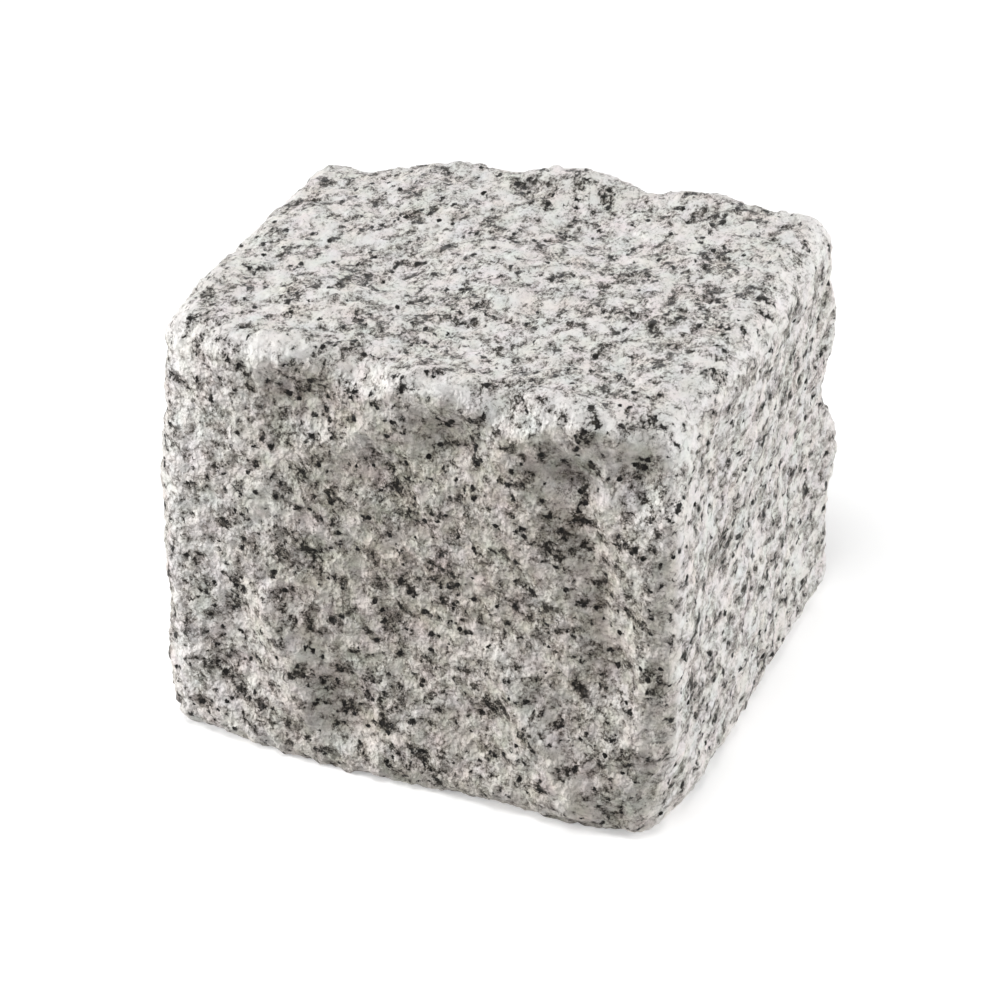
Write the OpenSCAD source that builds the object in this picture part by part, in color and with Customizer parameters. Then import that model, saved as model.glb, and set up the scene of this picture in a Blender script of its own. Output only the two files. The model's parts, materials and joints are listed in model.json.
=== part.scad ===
// Granite paving sett: a small cube of stone, cropped on all six sides and then tumbled.
// It is one solid piece. Millimetres, +Z up, +X to the right and +Y to the back.
// The origin is the middle of the bed, the face that the sett stands on.

/* [Block] */
// Length along the front, measured on the sharp block before tumbling
sett_length = 105; // [70:1:180]
// Depth from the front to the back
sett_depth = 90; // [70:1:180]
// Height from the bed to the wearing face
sett_height = 84; // [50:1:150]
// Radius that tumbling has worn along the edges
edge_radius = 6; // [3:0.5:10]
// Radius along the front's right edge, which has stayed crisp
crisp_radius = 2; // [1:0.5:6]

/* [Split faces] */
// How far the corners lie off a true block, as a share of corner_offsets
corner_skew = 1; // [0:0.1:1.5]
// Depth of the hollows, bosses and ridges, as a share of the values in their lists
hollow_scale = 1; // [0:0.1:1.5]
// Height of the broad waves that splitting leaves
wave_height = 1.1; // [0:0.1:3]
// Distance from one broad wave to the next
wave_length = 24; // [15:1:60]
// Depth of the chips along the edges
chip_depth = 1.6; // [0:0.1:4]
// How far the bed is dressed back, which leaves it flat enough to stand on
bed_trim = 1.2; // [0.5:0.1:3]

/* [Facets] */
// Facets across each face between its rounded edges
face_cells = 24; // [10:1:28]
// Facets from a face to the middle of a rounded edge
edge_cells = 2; // [1:1:3]

/* [Hidden] */
stone_grey = [0.74, 0.73, 0.71];

// Half the sharp block, which starts out deeper than the sett by the part dressed off its bed.
half_size = [sett_length / 2, sett_depth / 2, (sett_height + bed_trim) / 2];
cells = face_cells + 2 * edge_cells;

// Where the eight corners lie off the true block: [side, front or back, up or down], [x, y, z].
corner_offsets = [
    [[-1, -1, 1], [1.4, 3, 2]],
    [[1, -1, 1], [-3.5, -2.5, -1.5]],
    [[1, 1, 1], [-0.5, 0, 0.5]],
    [[-1, 1, 1], [0, -1, -2]],
    [[-1, -1, -1], [0.7, 0.5, 0]],
    [[1, -1, -1], [-4, -6.5, 0]],
    [[1, 1, -1], [1.5, 5, 0]],
    [[-1, 1, -1], [-0.5, 0.5, 0]],
];

// Hollows, and bosses where the depth is negative:
// [centre as a share of the half size, [radii in mm], depth in mm, rim from 1, crisp, to 3, soft].
hollows = [
    // the front face: its left third turns away, and the rest is a shallow dish
    [[-1.60, -1, 0.10], [66, 14, 90], 4.4, 2],
    [[0.18, -1, 0.05], [42, 10, 38], 2, 1.5],
    // the scallop under its top edge on the right, and a swell beside the valley that leads down from it
    [[0.60, -1, 0.76], [9, 9, 9], 3, 1.5],
    [[0.86, -1, 0.78], [10, 9, 12], 3, 1.5],
    [[0.40, -1, 0.45], [9, 7, 18], -0.9, 2],
    // the three lobes of its worn lip, and the hollows between and below them
    [[-0.46, -1, 1], [13, 10, 8], -2, 1.5],
    [[0.10, -1, 1], [14, 10, 8], -2.4, 1.5],
    [[0.58, -1, 1], [12, 10, 8], -2.4, 1.5],
    [[-0.20, -1, 1], [8, 8, 8], 1.2, 1.5],
    [[0.35, -1, 1], [8, 8, 8], 1.2, 1.5],
    [[-0.36, -1, 0.77], [11, 8, 9], 2.2, 1.5],
    [[-0.10, -1, 0.54], [12, 8, 8], 2, 1.5],
    [[0.17, -1, 0.76], [9, 8, 8], 2.4, 1.5],
    // the furrows beside its two ridges
    [[-0.67, -1, -0.50], [7, 6, 16], 1.6, 1.5],
    [[-0.22, -1, -0.68], [9, 6, 12], 1.4, 1.5],
    [[0.30, -1, -0.62], [9, 6, 12], 1.2, 1.5],
    // its side edges, its bottom edge and its corners
    [[-1, -1, 0.10], [12, 12, 32], -2, 2],
    [[-1, -1, 1], [15, 15, 15], 1.2, 1.5],
    [[-0.85, -1, -1], [20, 14, 14], 1.6, 1.5],
    [[1, -1, -0.05], [12, 26, 36], -1.8, 2],
    [[-0.08, -1, -1], [18, 12, 12], -0.8, 2],
    [[0.45, -1, -1], [10, 11, 11], 1.2, 1.5],
    [[1, -1, -1], [18, 20, 22], 2.6, 1.5],
    [[1, -1, 1], [18, 20, 16], 3, 1.5],
    // the top face
    [[0.23, 0.50, 1], [18, 14, 8], 1.4, 2],
    [[-0.30, -0.20, 1], [20, 12, 8], 0.9, 2],
    [[-0.95, -0.45, 1], [11, 16, 11], -1, 2],
    [[-0.92, -0.08, 1], [11, 16, 11], 1.6, 2],
    // the back edge of the top face
    [[-0.80, 1, 1], [13, 13, 11], 3.6, 1.5],
    [[-0.42, 1, 1], [12, 10, 9], -1.8, 2],
    [[0.03, 1, 1], [22, 14, 12], -4.5, 2],
    [[0.52, 1, 1], [14, 12, 10], -3, 2],
    // the right face and its edges
    [[1, 0, 1], [10, 34, 12], -1.4, 2],
    [[1, 0.10, 0.10], [8, 24, 20], 1.2, 2],
    [[1, 0.45, -0.95], [10, 14, 12], -1, 2],
    [[1, 1, 0.50], [12, 12, 14], -2.6, 2],
    [[1, 1, 0.14], [10, 10, 6], 1.6, 1.5],
    [[1, 1, -0.15], [12, 12, 13], -2.4, 2],
    // the back face
    [[-0.30, 1, -0.15], [32, 9, 26], 2.6, 1.5],
    [[0.55, 1, -0.45], [24, 9, 20], -2, 2],
    [[0.35, 1, 0.40], [9, 7, 20], 1.6, 1.5],
    // the left face
    [[-1, 0.30, 0.35], [8, 26, 20], 2.4, 1.5],
    [[-1, -0.30, -0.35], [8, 12, 26], -1.8, 2],
    [[-1, 0.75, -0.60], [8, 12, 14], 2, 1.5],
];

// Ridges on the front face, and a valley where the height is negative:
// [one end, the other end, both as shares of the half size, half width in mm, height in mm].
ridges = [
    [[-0.53, -1, -0.20], [-0.38, -1, -0.68], 5, 2],
    [[0.38, -1, -0.24], [0.68, -1, -0.78], 5, 2.2],
    [[0.63, -1, 0.70], [0.80, -1, -0.15], 5.5, -2.4],
];

// The crisp edge fades in from the bed and out towards the top over these shares of the half height.
crisp_from = [-0.6, -0.2];
crisp_to = [0.6, 0.85];

noise_seed = 7;
noise_size = 512;
noise_values = rands(-1, 1, noise_size, noise_seed);

function mix(a, b, t) = a + (b - a) * t;
function fade(t) = t * t * (3 - 2 * t);
function share(x, from, to) = min(max((x - from) / (to - from), 0), 1);
function wrap(n) = ((n % noise_size) + noise_size) % noise_size;
function lattice(i, j, k) = noise_values[wrap(i * 73 + j * 157 + k * 311)];

// Smooth noise from -1 to 1 at a point in space.
function noise(p) =
    let (
        i = floor(p.x), j = floor(p.y), k = floor(p.z),
        u = fade(p.x - i), v = fade(p.y - j), w = fade(p.z - k)
    )
    mix(
        mix(mix(lattice(i, j, k), lattice(i + 1, j, k), u),
            mix(lattice(i, j + 1, k), lattice(i + 1, j + 1, k), u), v),
        mix(mix(lattice(i, j, k + 1), lattice(i + 1, j, k + 1), u),
            mix(lattice(i, j + 1, k + 1), lattice(i + 1, j + 1, k + 1), u), v),
        w);

// Each octave is half as long and about half as high as the one before it.
function rock_waves(p) =
    wave_height * (noise(p / wave_length)
        + 0.55 * noise(p * 2 / wave_length + [9, 4, 2])
        + 0.3 * noise(p * 4 / wave_length + [3, 8, 5]));

// One hollow's depth at a point.
function hollow_at(p, h) =
    let (
        away = p - [for (axis = [0:2]) h[0][axis] * half_size[axis]],
        reach = norm([for (axis = [0:2]) away[axis] / h[1][axis]])
    )
    reach < 1 ? h[2] * pow(1 - reach * reach, h[3]) : 0;
function sum_of(values, i = 0) = i < len(values) ? values[i] + sum_of(values, i + 1) : 0;
function hollows_at(p) = hollow_scale * sum_of([for (h = hollows) hollow_at(p, h)]);

// One ridge's height at a point.
function ridge_at(p, r) =
    let (
        ends = [for (n = [0:1]) [for (axis = [0:2]) r[n][axis] * half_size[axis]]],
        along = ends[1] - ends[0],
        nearest = ends[0] + along * min(max((p - ends[0]) * along / (along * along), 0), 1),
        reach = norm(p - nearest) / r[2]
    )
    reach < 1 ? r[3] * pow(1 - reach * reach, 1.5) : 0;
function ridges_at(p) = hollow_scale * sum_of([for (r = ridges) ridge_at(p, r)]);

// The share of each corner's offset that a point of the block takes.
function corner_pull(p) =
    corner_skew * [for (axis = [0:2]) sum_of([for (c = corner_offsets)
        c[1][axis]
            * (1 + c[0].x * p.x / half_size.x) / 2
            * (1 + c[0].y * p.y / half_size.y) / 2
            * (1 + c[0].z * p.z / half_size.z) / 2])];

// Grid line i of the cells, from -1 to 1, with equal arcs over each rounded edge.
function grid_line(i, half) =
    let (flat = half - edge_radius)
    i < edge_cells ? -flat - edge_radius * tan(45 * (edge_cells - i) / edge_cells)
    : i > cells - edge_cells ? flat + edge_radius * tan(45 * (i - cells + edge_cells) / edge_cells)
    : mix(-flat, flat, (i - edge_cells) / face_cells);

// A point of the sharp block at grid lines i and j of the face whose normal is +axis or -axis.
function block_point(axis, side, i, j) =
    let (one = (axis + 1) % 3, two = (axis + 2) % 3)
    [for (a = [0:2])
        a == axis ? side * half_size[a]
        : a == one ? grid_line(i, half_size[one])
        : grid_line(j, half_size[two])];

function clamp_to(x, limit) = min(max(x, -limit), limit);

// The radius near a point: the front's right edge is crisp between its two worn ends.
function radius_at(q) =
    let (up = q.z / half_size.z)
    q.x > 0 && q.y < 0
        ? mix(edge_radius, crisp_radius,
            fade(share(up, crisp_from[0], crisp_from[1])) * fade(share(up, crisp_to[1], crisp_to[0])))
        : edge_radius;

// The block's point, rounded, split and tumbled.
function stone_point(q) =
    let (
        radius = radius_at(q),
        core = [for (a = [0:2]) clamp_to(q[a], half_size[a] - radius)],
        outward = (q - core) / norm(q - core),
        rounded = core + radius * outward,
        on_edge = 1 - max([for (a = [0:2]) abs(outward[a])]),
        chips = chip_depth * min(1, on_edge * 5) * max(0, noise(rounded / 9 + [5, 1, 7])),
        relief = rock_waves(rounded) + ridges_at(rounded) - hollows_at(rounded) - chips
    )
    rounded + corner_pull(rounded) + relief * outward
        + [0, 0, half_size.z - bed_trim];

faces_of_block = [for (axis = [0:2]) for (side = [-1, 1]) [axis, side]];
row = cells + 1;

module rough_stone() {
    points = [for (f = faces_of_block) for (i = [0:cells]) for (j = [0:cells])
        stone_point(block_point(f[0], f[1], i, j))];
    triangles = [for (n = [0:5]) for (i = [0:cells - 1]) for (j = [0:cells - 1])
        let (
            a = n * row * row + i * row + j,
            b = a + row, c = b + 1, d = a + 1,
            halves = (i + j) % 2 == 0 ? [[a, b, c], [a, c, d]] : [[a, b, d], [b, c, d]]
        )
        for (t = halves) faces_of_block[n][1] > 0 ? [t[2], t[1], t[0]] : t];
    polyhedron(points, triangles, convexity = 4);
}

module sett() {
    color(stone_grey)
        difference() {
            rough_stone();
            translate([-sett_length, -sett_depth, -10])
                cube([2 * sett_length, 2 * sett_depth, 10]);
        }
}

sett();
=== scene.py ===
"""A granite paving sett: the split and tumbled stone, its speckled granite, and the studio round it."""

import json
import math

import bpy
import numpy as np
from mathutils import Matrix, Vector

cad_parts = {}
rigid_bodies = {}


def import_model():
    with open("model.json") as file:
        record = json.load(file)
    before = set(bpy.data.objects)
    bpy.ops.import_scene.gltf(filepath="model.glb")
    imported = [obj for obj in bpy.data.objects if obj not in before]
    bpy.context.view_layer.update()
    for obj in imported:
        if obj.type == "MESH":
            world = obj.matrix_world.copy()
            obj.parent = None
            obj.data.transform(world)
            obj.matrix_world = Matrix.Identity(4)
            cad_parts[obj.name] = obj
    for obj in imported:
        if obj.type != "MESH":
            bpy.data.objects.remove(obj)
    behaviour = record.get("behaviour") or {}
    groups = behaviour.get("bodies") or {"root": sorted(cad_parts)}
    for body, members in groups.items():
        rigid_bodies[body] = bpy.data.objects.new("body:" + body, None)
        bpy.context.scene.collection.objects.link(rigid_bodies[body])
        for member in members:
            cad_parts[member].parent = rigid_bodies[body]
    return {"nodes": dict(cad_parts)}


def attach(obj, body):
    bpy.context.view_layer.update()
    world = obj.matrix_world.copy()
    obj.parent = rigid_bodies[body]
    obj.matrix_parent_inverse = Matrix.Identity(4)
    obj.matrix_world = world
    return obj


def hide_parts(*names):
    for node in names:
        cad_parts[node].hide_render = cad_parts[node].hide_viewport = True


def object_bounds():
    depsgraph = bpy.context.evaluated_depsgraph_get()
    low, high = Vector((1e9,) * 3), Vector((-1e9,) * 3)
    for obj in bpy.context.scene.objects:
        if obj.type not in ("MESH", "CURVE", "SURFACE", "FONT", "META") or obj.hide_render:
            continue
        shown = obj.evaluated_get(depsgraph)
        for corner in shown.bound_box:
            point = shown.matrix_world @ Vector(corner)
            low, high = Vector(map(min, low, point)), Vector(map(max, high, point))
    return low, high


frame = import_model()
cad_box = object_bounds()

MM = 0.001


# --- Camera -------------------------------------------------------------------------------------

CAMERA_AIM = Vector((0.3, 0.0, 35.5)) * MM
CAMERA_DISTANCE = 567 * MM
CAMERA_AZIMUTH = math.radians(20)
CAMERA_ELEVATION = math.radians(31)
CAMERA_LENS = 108


def add_camera():
    """The camera looks down on the sett from a little to the right of its front."""
    away = Vector((
        math.sin(CAMERA_AZIMUTH) * math.cos(CAMERA_ELEVATION),
        -math.cos(CAMERA_AZIMUTH) * math.cos(CAMERA_ELEVATION),
        math.sin(CAMERA_ELEVATION),
    ))
    camera = bpy.data.cameras.new("camera")
    camera.lens = CAMERA_LENS
    camera.clip_start = 0.01
    holder = bpy.data.objects.new("camera", camera)
    holder.location = CAMERA_AIM + away * CAMERA_DISTANCE
    holder.rotation_euler = (-away).to_track_quat("-Z", "Y").to_euler()
    bpy.context.scene.collection.objects.link(holder)
    bpy.context.scene.camera = holder


# --- Stone --------------------------------------------------------------------------------------

VOXEL = 0.7 * MM
TRIANGLES = 190_000
# smoothing steps, each on top of the last: the crystals go, then the small breaks, then the edges
EVEN_OUT, WEAR, ROUND_OFF = 20, 60, 240


def pick_only(piece):
    """Selects one object and makes it the active one."""
    bpy.ops.object.select_all(action="DESELECT")
    piece.select_set(True)
    bpy.context.view_layer.objects.active = piece


def finish_with(piece, kind, **settings):
    """Adds a modifier with these settings and applies it."""
    modifier = piece.modifiers.new(kind.lower(), kind)
    for name, value in settings.items():
        setattr(modifier, name, value)
    pick_only(piece)
    bpy.ops.object.modifier_apply(modifier=modifier.name)


def points_of(piece):
    """The piece's vertices as rows of x, y and z."""
    places = np.empty(len(piece.data.vertices) * 3)
    piece.data.vertices.foreach_get("co", places)
    return places.reshape(-1, 3)


def normals_of(piece):
    """The outward normal at each of the piece's vertices."""
    normals = np.empty(len(piece.data.vertices) * 3)
    piece.data.vertices.foreach_get("normal", normals)
    return normals.reshape(-1, 3)


def between(values, low, high):
    """0 at low and before it, 1 at high and past it, and smooth from one to the other."""
    share = np.clip((values - low) / (high - low), 0, 1)
    return share * share * (3 - 2 * share)


def copy_of_the_block():
    """A merged copy of the CAD stone, with an even mesh and its facets smoothed away."""
    pick_only(frame["nodes"]["sett"])
    bpy.ops.object.duplicate()
    stone = bpy.context.active_object
    stone.name = stone.data.name = "granite_stone"
    bpy.ops.object.parent_clear(type="CLEAR_KEEP_TRANSFORM")
    bpy.ops.object.mode_set(mode="EDIT")
    bpy.ops.mesh.select_all(action="SELECT")
    bpy.ops.mesh.remove_doubles(threshold=0.01 * MM)
    bpy.ops.object.mode_set(mode="OBJECT")
    finish_with(stone, "REMESH", mode="VOXEL", voxel_size=VOXEL)
    finish_with(stone, "SMOOTH", factor=0.5, iterations=6)
    return stone


def roughen(stone, name, kind, size, height, middle=0.5, group="", **settings):
    """Pushes the surface out where a procedural texture is above its middle, and in where it is below."""
    texture = bpy.data.textures.new(name, kind)
    texture.noise_scale = size * MM
    for key, value in settings.items():
        setattr(texture, key, value)
    finish_with(
        stone, "DISPLACE", texture=texture, texture_coords="LOCAL", mid_level=middle, strength=height * MM,
        vertex_group=group)


def smoothed(stone, *rounds):
    """The stone's points and normals after each of these rounds of smoothing steps."""
    pick_only(stone)
    bpy.ops.object.duplicate()
    worn = bpy.context.active_object
    states = []
    for steps in rounds:
        finish_with(worn, "SMOOTH", factor=0.6, iterations=steps)
        states.append((points_of(worn), normals_of(worn)))
    bpy.data.objects.remove(worn)
    return states


def rise(start, end, outward):
    """How many millimetres each point moves outwards from start to end."""
    return ((end - start) * outward).sum(axis=1) / MM


def chip_the_edges(stone):
    """Breaks small shallow chips out of the block's edges."""
    (slightly_worn, _), (rounded, outward) = smoothed(stone, WEAR, ROUND_OFF)
    on_edge = between(rise(slightly_worn, rounded, outward), -0.4, -1.4)
    edges = stone.vertex_groups.new(name="edges")
    for number in np.flatnonzero(on_edge):
        edges.add([int(number)], on_edge[number], "REPLACE")
    roughen(stone, "chips", "CLOUDS", 4.5, 1.8, group="edges", noise_basis="VORONOI_F1", noise_depth=1)
    stone.vertex_groups.clear()


def rest_on_the_ground(stone):
    """Flattens what dips under the ground."""
    places = points_of(stone)
    places[:, 2] = np.maximum(places[:, 2], 0)
    stone.data.vertices.foreach_set("co", places.ravel())
    stone.data.update()


def write_marks(stone, name, values):
    """Keeps a number for each vertex on the mesh, for the material to read."""
    marks = stone.data.attributes.new(name, "FLOAT", "POINT")
    marks.data.foreach_set("value", values)


def mark_wear(stone):
    """Writes on each vertex how bruised and broken it is, how much grime and painted shade it takes, how
    far into a hollow it lies, and how strongly the grain shows there.
    """
    places = points_of(stone)
    (_, even_normals), (slightly_worn, _), (rounded, outward) = smoothed(stone, EVEN_OUT, WEAR, ROUND_OFF)
    facing_right, facing_back, facing_up = even_normals.T
    # proud crystals stand out of the worn stone, and rounding fills its hollows and takes its edges away
    proud = rise(slightly_worn, places, outward)
    filled = rise(slightly_worn, rounded, outward)

    low, high = cad_box
    along = (places[:, 0] - low.x) / (high.x - low.x)
    up = places[:, 2] / high.z
    top = between(facing_up, 0.5, 0.85)
    lip = between(facing_up, 0.0, 0.5)
    front = between(facing_back, -0.15, -0.7) * (1 - 0.8 * between(facing_up, 0.1, 0.45))
    back = between(facing_back, 0.5, 0.85)
    right = between(facing_right, 0.5, 0.85)
    far_right = between(facing_right, 0.8, 0.97)
    left = between(facing_right, -0.5, -0.85)

    worn_edge = between(filled, -0.6, -1.6)
    bruise = np.maximum(0.25 * between(proud, 0.15, 0.9), (0.1 + 0.35 * lip) * worn_edge)
    write_marks(stone, "bruise", bruise)
    # hollow: how far a point lies in a broad hollow; the granite reads it to paint shade there with more
    # dark minerals
    write_marks(stone, "hollow", between(filled, 0.0, 0.9) * (1 - lip))

    # the front's grime and painted shade fade out over its left third and are thicker in its middle; the
    # back and left faces take some too
    middle = between(abs(along - 0.5), 0.4, 0.1) * between(up, 0.1, 0.6)
    grimy_and_shaded_faces = front * (between(along, 0.0, 0.38) + 0.3 * middle) + 0.7 * back + 0.5 * left
    # more in the broad hollows, partly grime and partly painted shade, and less on the worn edges of the
    # lip
    sheltered_and_shaded = (0.8 + 0.5 * between(filled, 0.0, 0.9)) * (1 - 0.8 * between(filled, -0.2, -1.4) * lip)
    write_marks(stone, "grime_and_shade", grimy_and_shaded_faces * sheltered_and_shaded)

    write_marks(stone, "broken", 1 - 0.6 * top - 0.4 * right - 0.2 * between(proud, 0.2, 0.9))
    write_marks(stone, "clarity", 1.4 + 0.7 * lip - 1.2 * far_right)
    write_marks(stone, "contrast", 1.02 + 0.16 * lip - 0.08 * far_right)


def make_stone():
    """The stone: the block with its chips, small breaks, crystals and grit as real relief."""
    stone = copy_of_the_block()
    chip_the_edges(stone)
    roughen(stone, "breaks", "CLOUDS", 6, 1.2, middle=0.33, noise_basis="VORONOI_F2_F1", noise_depth=2)
    roughen(stone, "crystals", "VORONOI", 2.6, 0.7)
    roughen(stone, "grit", "CLOUDS", 1.2, 0.8, noise_depth=2)
    finish_with(stone, "DECIMATE", ratio=TRIANGLES / (2 * len(stone.data.polygons)))
    rest_on_the_ground(stone)
    mark_wear(stone)
    pick_only(stone)
    bpy.ops.object.shade_smooth()
    return stone


# --- Granite ------------------------------------------------------------------------------------

def grey(level, warmth=0.0):
    """A stone colour: warmth is the share taken from its blue, and half of it from its green."""
    return (level, level * (1 - warmth / 2), level * (1 - warmth), 1)


CLEAN_FELDSPAR = grey(0.90, 0.055)
FELDSPAR = grey(0.76, 0.06)
QUARTZ = grey(0.48, 0.10)
SMOKY_QUARTZ = grey(0.26, 0.16)
SUGAR = grey(0.86, 0.03)
CRUSHED = grey(0.90, 0.04)
JET = grey(0.007, 0.25)
DARK_MICA = (0.0085, 0.0072, 0.0055, 1)
SHINY_MICA = (0.062, 0.055, 0.047, 1)
ROSY = (0.95, 0.89, 0.86, 1)
# brown and olive stains, dark enough that they also paint shade where the grime lies
BROWN_STAIN_AND_SHADE = (0.655, 0.64, 0.635, 1)
OLIVE_STAIN_AND_SHADE = (0.635, 0.64, 0.60, 1)
GRIME_TINT = (1.03, 1.0, 0.965, 1)

# the pattern counts in millimetres and is drawn out along the sett's depth, as the rock's own grain is,
# and it starts where dark patches fall in the front's hollow
PATTERN_SCALE = (1 / MM, 0.76 / MM, 1 / MM)
PATTERN_START = (0, 0, -14)
# the contrast spreads the mix of minerals about its middle, and a higher level makes more of it dark
MIX_MIDDLE = 0.55
MIX_LEVEL = 0.165


class Finish:
    """A material and short ways to add and join its nodes."""

    def __init__(self, name):
        self.material = bpy.data.materials.new(name)
        self.material.use_nodes = True
        self.tree = self.material.node_tree
        self.shader = self.tree.nodes["Principled BSDF"]
        self.output = self.tree.nodes["Material Output"]

    def add(self, kind, inputs=None, **settings):
        """Adds a node with these settings, and links or sets its inputs."""
        node = self.tree.nodes.new("ShaderNode" + kind)
        for name, value in settings.items():
            setattr(node, name, value)
        for name, value in (inputs or {}).items():
            self.feed(node.inputs[name], value)
        return node

    def feed(self, socket, value):
        """Links another node's output to a socket, or sets the socket to a plain value."""
        if isinstance(value, bpy.types.NodeSocket):
            self.tree.links.new(value, socket)
        else:
            socket.default_value = value

    def maths(self, operation, a, b=0.0, c=0.0):
        """One step of arithmetic, on plain values or on other nodes' outputs."""
        return self.add("Math", {0: a, 1: b, 2: c}, operation=operation).outputs[0]

    def sum_of(self, *shares):
        """Adds up values, each times its share."""
        total = 0.0
        for share, value in shares:
            total = self.maths("MULTIPLY_ADD", value, share, total)
        return total

    def between(self, value, low, high, to_low=0.0, to_high=1.0):
        """Maps low to high onto to_low to to_high, smoothly and no further."""
        return self.add("MapRange", {
            "Value": value, "From Min": low, "From Max": high, "To Min": to_low, "To Max": to_high,
        }, interpolation_type="SMOOTHSTEP").outputs["Result"]

    def mark(self, name):
        """A number that mark_wear has written on the mesh."""
        return self.add("Attribute", attribute_name=name).outputs["Fac"]

    def moved(self, place, by):
        """The place moved by some millimetres, so that two noises of one size differ."""
        return self.add("VectorMath", {0: place, 1: by}).outputs[0]

    def ragged(self, place, size, reach):
        """The place moved about by up to reach millimetres, which frays whatever reads it."""
        waver = self.noise(place, size, 2, 0.6, "Color")
        centred = self.add("VectorMath", {0: waver, 1: (0.5, 0.5, 0.5)}, operation="SUBTRACT")
        shift = self.add("VectorMath", {0: centred.outputs[0], "Scale": 2 * reach}, operation="SCALE")
        return self.add("VectorMath", {0: place, 1: shift.outputs[0]}, operation="ADD").outputs[0]

    def noise(self, place, size, detail, roughness, output="Fac"):
        """Soft noise from 0 to 1, its lumps about size millimetres apart, as one value or as a colour."""
        return self.add("TexNoise", {
            "Vector": place, "Scale": 1 / size, "Detail": detail, "Roughness": roughness}).outputs[output]

    def cells(self, place, size, feature="F1"):
        """Crystal cells about size millimetres across."""
        return self.add("TexVoronoi", {"Vector": place, "Scale": 1 / size}, feature=feature)

    def random_of(self, cells):
        """Three random numbers of each cell."""
        return self.add("SeparateColor", {"Color": cells.outputs["Color"]}).outputs[:3]

    def blend(self, share, a, b, mode="MIX"):
        """Colour b over colour a."""
        node = self.add("Mix", data_type="RGBA", blend_type=mode)
        under, over = [socket for socket in node.inputs if socket.type == "RGBA"]
        self.feed(node.inputs["Factor"], share)
        self.feed(under, a)
        self.feed(over, b)
        return [socket for socket in node.outputs if socket.type == "RGBA"][0]

    def ramp(self, value, stops):
        """The colour at this value on a ramp of (value, colour) stops."""
        node = self.add("ValToRGB", {"Fac": value})
        elements = node.color_ramp.elements
        for number, (position, colour) in enumerate(stops):
            element = elements[number] if number < 2 else elements.new(position)
            element.position = position
            element.color = colour
        return node.outputs["Color"]


def mix_of_minerals(finish, place, speckle, tone):
    """Low where the feldspar is clean, and high where mica crowds together."""
    gather = finish.noise(finish.moved(place, (31, 7, 5)), 6, 2, 0.5)
    gather_share = finish.maths("MULTIPLY_ADD", finish.mark("broken"), 0.10, 0.11)
    gathered = finish.maths("MULTIPLY", finish.maths("SUBTRACT", gather, 0.5), gather_share)
    fine = finish.noise(finish.moved(place, (5, 2, 23)), 0.55, 4, 0.75)
    clear = finish.maths("MULTIPLY", finish.maths("SUBTRACT", fine, 0.5), finish.mark("clarity"))
    rims = finish.cells(finish.ragged(place, 0.8, 0.5), 2.2, "DISTANCE_TO_EDGE").outputs["Distance"]
    rim = finish.between(rims, 0.10, 0.02)
    # the hollow mark raises the mix a little, which paints shade into the hollows
    mix = finish.sum_of(
        (0.68, speckle), (1.0, gathered), (0.05, tone), (0.185, clear), (0.02, rim),
        (-0.035, finish.mark("bruise")), (0.016, finish.mark("hollow")), (1.0, MIX_LEVEL - MIX_MIDDLE))
    return finish.maths("MULTIPLY_ADD", mix, finish.mark("contrast"), MIX_MIDDLE)


def feldspar_and_quartz(finish, place, mix, hue):
    """The pale minerals, sugary where the stone is broken and crushed white where it is bruised."""
    colour = finish.ramp(
        mix, ((0.43, CLEAN_FELDSPAR), (0.515, FELDSPAR), (0.552, QUARTZ), (0.60, SMOKY_QUARTZ)))
    colour = finish.blend(finish.between(hue, 0.8, 1.0, 0, 0.3), colour, ROSY, "MULTIPLY")
    sugar = finish.noise(finish.moved(place, (13, 1, 6)), 0.5, 2, 0.6)
    sugary = finish.maths("MULTIPLY", finish.between(sugar, 0.61, 0.66, 0, 0.8), finish.mark("broken"))
    colour = finish.blend(sugary, colour, SUGAR)
    return finish.blend(finish.maths("MULTIPLY", finish.mark("bruise"), 0.9), colour, CRUSHED)


def with_mica(finish, place, mix, colour):
    """Mica where the mix is high: near black, and paler where its plates lie flat."""
    sheen = finish.noise(finish.moved(place, (8, 14, 2)), 0.8, 2, 0.6)
    mica = finish.blend(finish.between(sheen, 0.42, 0.68), DARK_MICA, SHINY_MICA)
    return finish.blend(finish.between(mix, 0.586, 0.636), colour, mica)


def with_black_grains(finish, place, colour):
    """Frayed black grains, more and larger in the dark patches."""
    patches = finish.noise(finish.ragged(place, 1.0, 0.6), 2.3, 1, 0.6)
    grains = finish.cells(finish.ragged(finish.moved(place, (3, 17, 9)), 0.5, 0.3), 1.6)
    # the hollow mark adds black grains in the hollows as painted shade
    chance = finish.sum_of(
        (1.0, finish.between(patches, 0.44, 0.62, 0.02, 0.92)), (-1.0, finish.random_of(grains)[0]),
        (-0.1, finish.mark("bruise")), (0.1, finish.mark("hollow")))
    size = finish.between(chance, -0.1, 0.6, -0.1, 0.5)
    frayed = finish.noise(place, 0.6, 4, 0.75)
    depth = finish.sum_of((1.0, size), (-1.0, grains.outputs["Distance"]), (1.2, frayed), (1.0, -0.15))
    return finish.blend(finish.between(depth, 0.40, 0.66), colour, JET)


def with_black_specks(finish, place, colour):
    """Round black specks in about a quarter of their cells."""
    specks = finish.cells(finish.ragged(place, 0.45, 0.35), 3.8)
    speck = finish.between(specks.outputs["Distance"], 0.15, 0.12)
    rare = finish.maths("LESS_THAN", finish.random_of(specks)[1], 0.28)
    return finish.blend(finish.maths("MULTIPLY", speck, rare), colour, JET)


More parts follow.
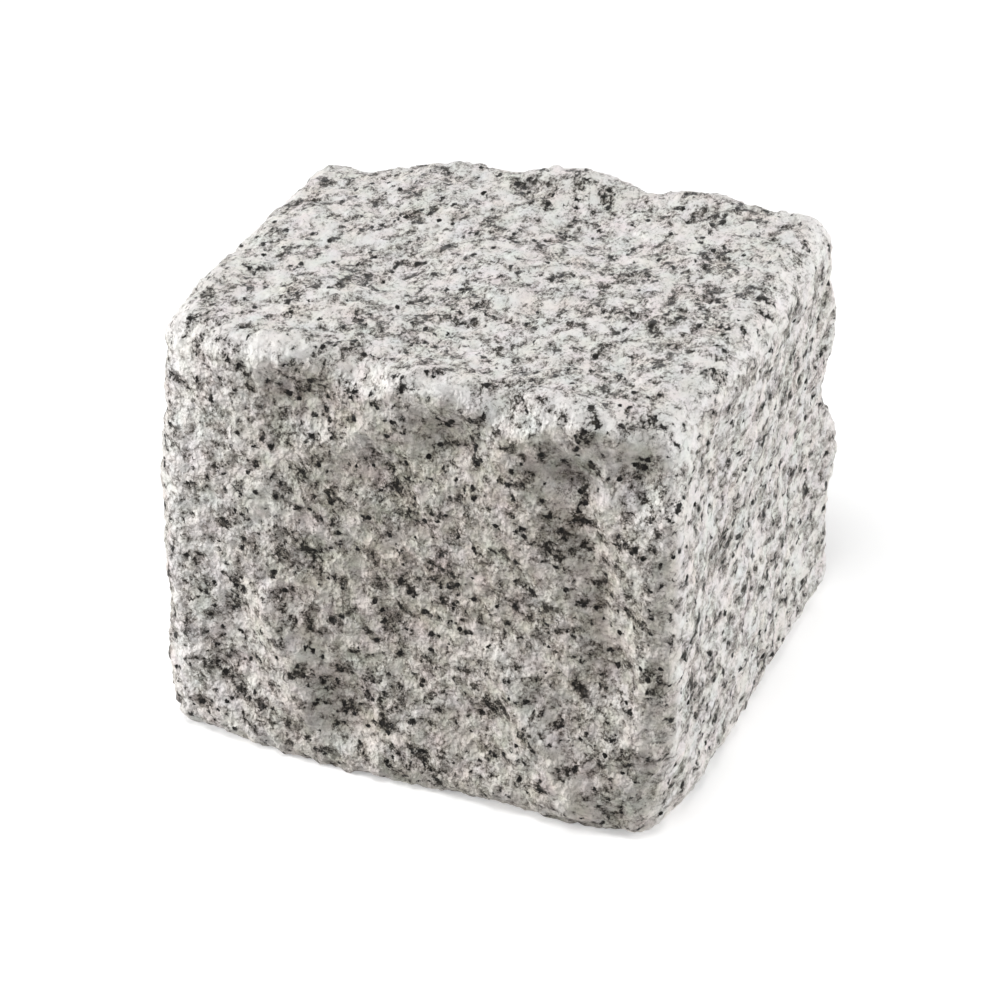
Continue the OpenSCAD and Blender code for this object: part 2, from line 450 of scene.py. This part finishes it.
def with_cast(finish, place, colour):
    """A faint rosy, greenish or cool cast on each patch, which fades where the stone is bruised."""
    patch = finish.noise(finish.moved(place, (2, 27, 11)), 4.5, 2, 0.5, "Color")
    cast = finish.add("VectorMath", {
        0: patch, 1: (0.18, 0.10, 0.13), 2: (0.91, 0.95, 0.935)}, operation="MULTIPLY_ADD").outputs[0]
    strength = finish.maths("MULTIPLY_ADD", finish.mark("bruise"), -1.5, 1.0)
    return finish.blend(strength, colour, cast, "MULTIPLY")


def relief_of_breaks(finish, place, step):
    """The small relief of the split faces, as a height to bump by."""
    coarse = finish.noise(place, 1.8, 1, 0.5)
    small = finish.noise(finish.moved(place, (7, 19, 4)), 0.75, 1, 0.5)
    return finish.sum_of((0.15, step), (1.0, coarse), (0.5, small))


def with_grime_and_shade(finish, place, height, colour):
    """Grime, brown or olive, on the front, back and left faces, and thicker in the small hollows; part of
    this darkening is painted shade.
    """
    grime_and_shade = finish.mark("grime_and_shade")
    patchy = finish.between(finish.noise(place, 5, 4, 0.6), 0.3, 0.6, 0.65, 1.0)
    # darker in the small hollows of the relief: painted shade as well as dirt
    in_hollows = finish.between(height, 0.95, 0.70, 0.6, 1.2)
    dirt_and_shade = finish.maths("MULTIPLY", grime_and_shade, finish.maths("MULTIPLY", patchy, in_hollows))
    kind = finish.noise(finish.moved(place, (21, 3, 15)), 4, 2, 0.6)
    stain_and_shade = finish.blend(finish.between(kind, 0.42, 0.58), BROWN_STAIN_AND_SHADE, OLIVE_STAIN_AND_SHADE)
    colour = finish.blend(dirt_and_shade, colour, stain_and_shade, "MULTIPLY")
    return finish.blend(grime_and_shade, colour, GRIME_TINT, "MULTIPLY")


def make_granite():
    """Pale feldspar and grey quartz, peppered with mica, bruised along the edges, and darkened by grime and
    painted shade on the front, back and left faces.
    """
    finish = Finish("granite")
    place = finish.add("Mapping", {
        "Vector": finish.add("TexCoord").outputs["Object"],
        "Scale": PATTERN_SCALE, "Location": PATTERN_START}).outputs[0]
    speckle = finish.noise(finish.ragged(place, 1.0, 0.6), 2.3, 6, 0.74)
    tone, hue, step = finish.random_of(finish.cells(finish.ragged(place, 1.0, 0.7), 3.0))
    height = relief_of_breaks(finish, place, step)

    mix = mix_of_minerals(finish, place, speckle, tone)
    colour = feldspar_and_quartz(finish, place, mix, hue)
    colour = with_mica(finish, place, mix, colour)
    colour = with_black_grains(finish, place, colour)
    colour = with_black_specks(finish, place, colour)
    colour = with_cast(finish, place, colour)
    colour = with_grime_and_shade(finish, place, height, colour)

    height = finish.maths("MULTIPLY", height, finish.mark("broken"))
    bump = finish.add("Bump", {"Height": height, "Strength": 1.0, "Distance": 1.1 * MM})
    finish.feed(finish.shader.inputs["Base Color"], colour)
    finish.feed(finish.shader.inputs["Roughness"], finish.between(speckle, 0.4, 0.62, 0.75, 0.5))
    finish.feed(finish.shader.inputs["Normal"], bump.outputs["Normal"])
    finish.shader.inputs["Specular IOR Level"].default_value = 0.15
    return finish.material


# --- Studio -------------------------------------------------------------------------------------

# the floor's own glow rises from NEAR_GLOW to 1 between these distances from the sett
GLOW_FROM, GLOW_TO = 350 * MM, 1100 * MM
NEAR_GLOW = 0.4
LAMPS_AIM = Vector((0, 0, 40)) * MM
SKY_LIGHT = 0.02


def seen_directly(nodes, links):
    """1 for the camera's own rays, gloss and glass, and 0 for light that falls on things."""
    path = nodes.new("ShaderNodeLightPath").outputs
    seen = path["Is Camera Ray"]
    for kind in ("Is Glossy Ray", "Is Transmission Ray"):
        either = nodes.new("ShaderNodeMath")
        either.operation = "MAXIMUM"
        links.new(seen, either.inputs[0])
        links.new(path[kind], either.inputs[1])
        seen = either.outputs[0]
    return seen


def make_floor():
    """A pale floor that shows white, and keeps the sett's shadow."""
    bpy.ops.object.select_all(action="DESELECT")
    bpy.ops.mesh.primitive_plane_add(size=6)
    floor = bpy.context.active_object
    floor.name = "floor"
    finish = Finish("white_floor")
    finish.shader.inputs["Base Color"].default_value = (0.8, 0.8, 0.8, 1)
    finish.shader.inputs["Roughness"].default_value = 0.9
    # it glows faintly near the sett, and fully where the lamps no longer reach it
    place = finish.add("TexCoord").outputs["Object"]
    away = finish.add("VectorMath", {0: place}, operation="LENGTH").outputs["Value"]
    rising = finish.between(away, GLOW_FROM, GLOW_TO, NEAR_GLOW, 1.0)
    seen = seen_directly(finish.tree.nodes, finish.tree.links)
    glow = finish.add("Emission", {"Strength": finish.maths("MULTIPLY", seen, rising)})
    both = finish.add("AddShader", {0: finish.shader.outputs[0], 1: glow.outputs[0]})
    finish.feed(finish.output.inputs["Surface"], both.outputs[0])
    floor.data.materials.append(finish.material)


def add_soft_box(name, place, size, power):
    """A square lamp that faces the middle of the sett."""
    lamp = bpy.data.lights.new(name, "AREA")
    lamp.shape = "SQUARE"
    lamp.size = size
    lamp.energy = power
    holder = bpy.data.objects.new(name, lamp)
    holder.location = place
    holder.rotation_euler = (LAMPS_AIM - holder.location).to_track_quat("-Z", "Y").to_euler()
    bpy.context.scene.collection.objects.link(holder)


def light_the_studio():
    """Four soft boxes, and a white world that shows but lights hardly at all."""
    add_soft_box("top_soft_box", (0.05, -0.45, 1.05), size=0.35, power=5.3)
    add_soft_box("right_soft_box", (1.1, 0.33, 0.45), size=0.5, power=9.7)
    add_soft_box("left_soft_box", (-1.1, -0.37, 0.40), size=0.5, power=13.1)
    add_soft_box("back_soft_box", (-0.35, 1.1, 0.5), size=0.5, power=3)
    world = bpy.data.worlds.new("studio")
    bpy.context.scene.world = world
    world.use_nodes = True
    nodes, links = world.node_tree.nodes, world.node_tree.links
    backdrop = nodes["Background"]
    backdrop.inputs["Color"].default_value = (1, 1, 1, 1)
    strength = nodes.new("ShaderNodeMapRange")
    strength.inputs["To Min"].default_value = SKY_LIGHT
    links.new(seen_directly(nodes, links), strength.inputs["Value"])
    links.new(strength.outputs["Result"], backdrop.inputs["Strength"])


add_camera()
stone = make_stone()
stone.data.materials.clear()
stone.data.materials.append(make_granite())
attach(stone, "root")
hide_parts("sett")
make_floor()
light_the_studio()
bpy.context.scene.view_settings.view_transform = "Standard"
